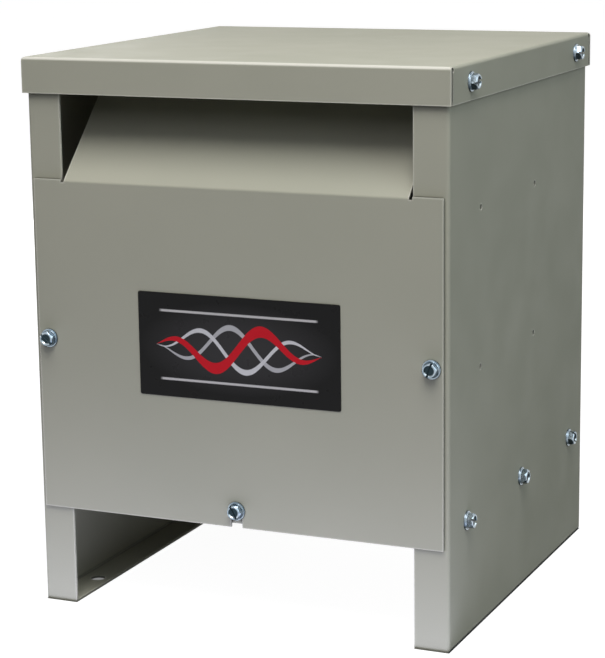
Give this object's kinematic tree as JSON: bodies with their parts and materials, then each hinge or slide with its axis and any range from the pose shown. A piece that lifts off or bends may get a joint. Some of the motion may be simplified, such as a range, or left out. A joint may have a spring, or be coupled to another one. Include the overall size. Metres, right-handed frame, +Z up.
{
  "type": "line reactor in a ventilated floor-standing cabinet",
  "caption": "Grey sheet-metal cabinet on skid feet with a skirted lid and slanted air baffles, housing a laminated core with coils.",
  "frame": {"origin": "on the floor under the middle of the cabinet", "axes": "+Z up, front cover towards -Y, +X to the right seen from the front"},
  "size_m": [0.2646, 0.2624, 0.33],
  "materials": {
    "cabinet_paint": "satin powder coat",
    "screw_zinc": "bright zinc plate",
    "front_plate": "glossy printed film",
    "core_steel": "varnished laminations",
    "coil_varnish": "varnish-dipped winding",
    "clamp_steel": "satin",
    "terminal_copper": "bare copper",
    "spacer_board": "pressboard"
  },
  "bodies": {
    "root": {"left_side_panel": "cabinet_paint", "right_side_panel": "cabinet_paint", "base_pan": "cabinet_paint", "lid": "cabinet_paint", "front_cover": "cabinet_paint", "rear_cover": "cabinet_paint", "core_e_stack": "core_steel", "core_i_stack": "core_steel", "left_gap_spacer": "spacer_board", "middle_gap_spacer": "spacer_board", "right_gap_spacer": "spacer_board", "left_coil": "coil_varnish", "middle_coil": "coil_varnish", "right_coil": "coil_varnish", "front_lower_clamp": "clamp_steel", "rear_lower_clamp": "clamp_steel", "front_upper_clamp": "clamp_steel", "rear_upper_clamp": "clamp_steel", "left_line_terminal": "terminal_copper", "middle_line_terminal": "terminal_copper", "right_line_terminal": "terminal_copper", "left_load_terminal": "terminal_copper", "middle_load_terminal": "terminal_copper", "right_load_terminal": "terminal_copper"}
  },
  "joints": []
}
